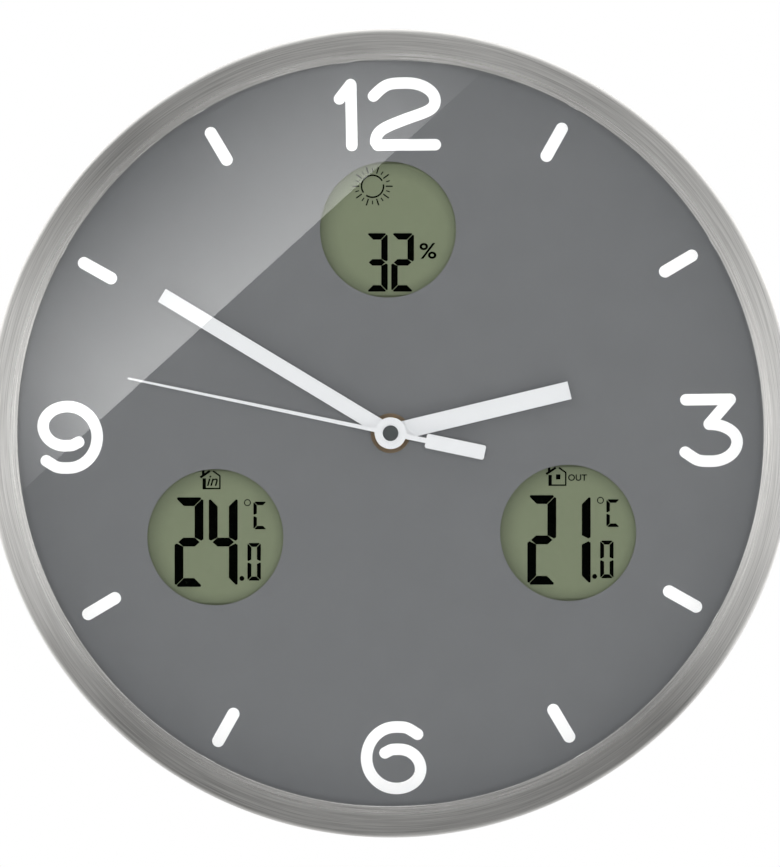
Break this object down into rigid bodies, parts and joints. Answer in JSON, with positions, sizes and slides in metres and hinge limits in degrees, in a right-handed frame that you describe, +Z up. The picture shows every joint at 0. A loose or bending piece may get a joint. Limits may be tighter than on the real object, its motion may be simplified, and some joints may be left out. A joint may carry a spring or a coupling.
{
  "type": "wall clock with thermometer and hygrometer",
  "caption": "Round wall clock with brushed metal bezel, grey dial, white hands and round windows for humidity, indoor and outdoor temperature displays.",
  "frame": {"origin": "centre of the hanging keyhole's round hole, in the plane of the wall", "axes": "+Z up, -Y out of the dial towards the viewer, +X to the viewer's right"},
  "size_m": [0.3, 0.04, 0.3],
  "materials": {
    "brushed_aluminium": "circular brushed, satin",
    "clear_glass": "flat, clear",
    "black_rubber": "matt",
    "grey_spacer_plastic": "moulded, matt",
    "grey_dial_lacquer": "lacquered, fine satin",
    "white_hand_paint": "painted white, satin",
    "dark_cap_paint": "painted dark grey",
    "bronzed_brass": "darkened",
    "brass": "machined",
    "white_gear_acetal": "moulded, natural white",
    "black_movement_plastic": "moulded, fine texture",
    "grey_magnet": "sintered",
    "nickel_iron": "stamped",
    "copper_winding": "enamelled wire",
    "natural_nylon": "moulded",
    "green_board": "solder mask",
    "bright_steel_can": "drawn",
    "plated_spring_steel": "nickel plated",
    "battery_sleeve": "printed sleeve, bare of text",
    "black_case_plastic": "moulded, fine texture",
    "black_display_plastic": "moulded",
    "lcd_glass": "green grey, matt polariser",
    "grey_connector_rubber": "layered",
    "zinc_plated_steel": "plated",
    "black_switch_plastic": "moulded",
    "white_sensor_plastic": "moulded",
    "tinned_wire": "enamelled",
    "grey_ribbon_pvc": "flat cable"
  },
  "bodies": {
    "case": {"bezel": "brushed_aluminium", "lens": "clear_glass", "lens_gasket": "black_rubber", "spacer_ring": "grey_spacer_plastic", "dial_plate": "grey_dial_lacquer", "dial_washer": "bronzed_brass", "spindle_nut": "brass", "rubber_washer": "black_rubber", "movement_front_case": "black_movement_plastic", "movement_back_cover": "black_movement_plastic", "train_bridge": "black_movement_plastic", "stator": "nickel_iron", "coil_core": "nickel_iron", "coil_bobbin": "natural_nylon", "coil_winding": "copper_winding", "movement_board": "green_board", "quartz_crystal": "bright_steel_can", "negative_contact": "plated_spring_steel", "positive_contact": "plated_spring_steel", "aa_battery": "battery_sleeve", "back_case": "black_case_plastic", "display_screws": "zinc_plated_steel", "upper_aaa_battery": "battery_sleeve", "lower_aaa_battery": "battery_sleeve", "aaa_contacts": "plated_spring_steel", "key_switches": "black_switch_plastic", "climate_sensor": "white_sensor_plastic", "receiver_module": "green_board", "antenna": "tinned_wire", "ribbon_cables": "grey_ribbon_pvc", "humidity_display_frame": "black_display_plastic", "humidity_lcd_panel": "lcd_glass", "humidity_connector_strips": "grey_connector_rubber", "humidity_board": "green_board", "indoor_display_frame": "black_display_plastic", "indoor_lcd_panel": "lcd_glass", "indoor_connector_strips": "grey_connector_rubber", "indoor_board": "green_board", "outdoor_display_frame": "black_display_plastic", "outdoor_lcd_panel": "lcd_glass", "outdoor_connector_strips": "grey_connector_rubber", "outdoor_board": "green_board"},
    "seconds": {"seconds_wheel": "white_gear_acetal", "second_hand": "white_hand_paint", "second_hand_cap": "dark_cap_paint"},
    "minutes": {"cannon_pinion": "white_gear_acetal", "minute_hand": "white_hand_paint"},
    "hours": {"hour_wheel": "white_gear_acetal", "hour_hand": "white_hand_paint"},
    "third": {"third_wheel": "white_gear_acetal"},
    "centre": {"centre_wheel": "white_gear_acetal"},
    "fifth": {"fifth_wheel": "white_gear_acetal"},
    "motor_rotor": {"rotor": "grey_magnet"},
    "motion_wheel": {"minute_wheel": "white_gear_acetal"},
    "knob": {"setting_knob": "black_movement_plastic"},
    "door": {"battery_door": "black_case_plastic"},
    "unit_key": {"unit_button": "black_switch_plastic"},
    "search_key": {"search_button": "black_switch_plastic"}
  },
  "joints": [
    {"name": "second_hand_turn", "type": "hinge", "parent": "case", "child": "seconds", "pos_m": [0, 0, -0.12], "axis": [0, 1, 0], "continuous": true},
    {"name": "minute_hand_turn", "type": "hinge", "parent": "case", "child": "minutes", "pos_m": [0, 0, -0.12], "axis": [0, 1, 0], "continuous": true},
    {"name": "hour_hand_turn", "type": "hinge", "parent": "case", "child": "hours", "pos_m": [0, 0, -0.12], "axis": [0, 1, 0], "continuous": true},
    {"name": "third_wheel_turn", "type": "hinge", "parent": "case", "child": "third", "pos_m": [-0.00886, 0, -0.12156], "axis": [0, 1, 0], "continuous": true},
    {"name": "centre_wheel_turn", "type": "hinge", "parent": "case", "child": "centre", "pos_m": [0, 0, -0.12], "axis": [0, 1, 0], "continuous": true},
    {"name": "fifth_wheel_turn", "type": "hinge", "parent": "case", "child": "fifth", "pos_m": [0, 0, -0.1128], "axis": [0, 1, 0], "continuous": true},
    {"name": "rotor_turn", "type": "hinge", "parent": "case", "child": "motor_rotor", "pos_m": [-0.00606, 0, -0.1093], "axis": [0, 1, 0], "continuous": true},
    {"name": "minute_wheel_turn", "type": "hinge", "parent": "case", "child": "motion_wheel", "pos_m": [0.00945, 0, -0.12167], "axis": [0, 1, 0], "continuous": true},
    {"name": "setting_knob_turn", "type": "hinge", "parent": "case", "child": "knob", "pos_m": [0.01274, 0, -0.11265], "axis": [0, 1, 0], "continuous": true},
    {"name": "battery_door_swing", "type": "hinge", "parent": "case", "child": "door", "pos_m": [0, -0.0012, -0.2168], "axis": [-1, 0, 0], "range_deg": [0, 95]},
    {"name": "unit_button_press", "type": "slide", "parent": "case", "child": "unit_key", "axis": [0, -1, 0], "range_m": [0, 0.0006], "stiffness_N_per_m": 1500},
    {"name": "search_button_press", "type": "slide", "parent": "case", "child": "search_key", "axis": [0, -1, 0], "range_m": [0, 0.0006], "stiffness_N_per_m": 1500}
  ],
  "couplings": [
    {"joint": "third_wheel_turn", "follows": "second_hand_turn", "ratio": -0.13333},
    {"joint": "centre_wheel_turn", "follows": "second_hand_turn", "ratio": 0.016667},
    {"joint": "fifth_wheel_turn", "follows": "second_hand_turn", "ratio": -5},
    {"joint": "rotor_turn", "follows": "second_hand_turn", "ratio": 30},
    {"joint": "hour_hand_turn", "follows": "minute_hand_turn", "ratio": 0.083333},
    {"joint": "minute_wheel_turn", "follows": "minute_hand_turn", "ratio": -0.33333},
    {"joint": "setting_knob_turn", "follows": "minute_hand_turn", "ratio": 1}
  ]
}
